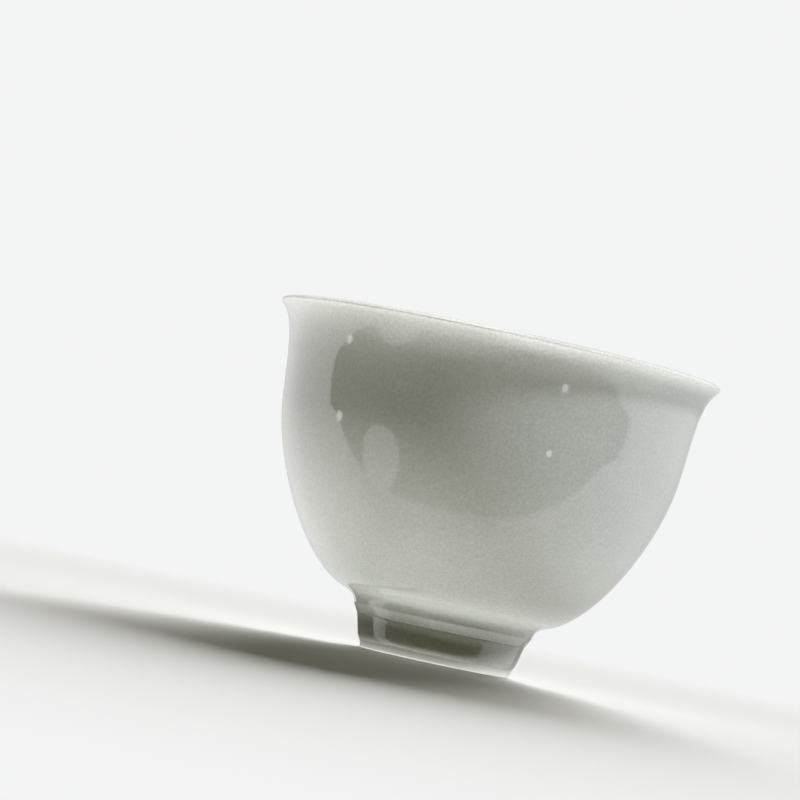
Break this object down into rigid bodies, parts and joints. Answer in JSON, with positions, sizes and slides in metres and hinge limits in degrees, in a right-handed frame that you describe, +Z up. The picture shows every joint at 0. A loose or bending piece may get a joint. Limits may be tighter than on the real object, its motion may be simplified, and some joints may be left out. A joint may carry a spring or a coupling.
{
  "type": "footed tea cup",
  "caption": "Handleless bell-shaped tea cup with a flared lip on a turned foot ring; glazed white porcelain with a bare standing edge.",
  "frame": {"origin": "centre of the standing face of the foot ring, on the surface that the cup stands on", "axes": "+Z up along the cup's axis of revolution; X and Y level, with no preferred direction"},
  "size_m": [0.07, 0.07, 0.051],
  "materials": {
    "porcelain": "matte",
    "slip": "matte",
    "glaze": "polished"
  },
  "bodies": {
    "root": {"bowl": "porcelain", "foot_ring": "porcelain", "slip_joint": "slip", "outer_glaze": "glaze", "liner_glaze": "glaze", "base_glaze": "glaze"}
  },
  "joints": []
}
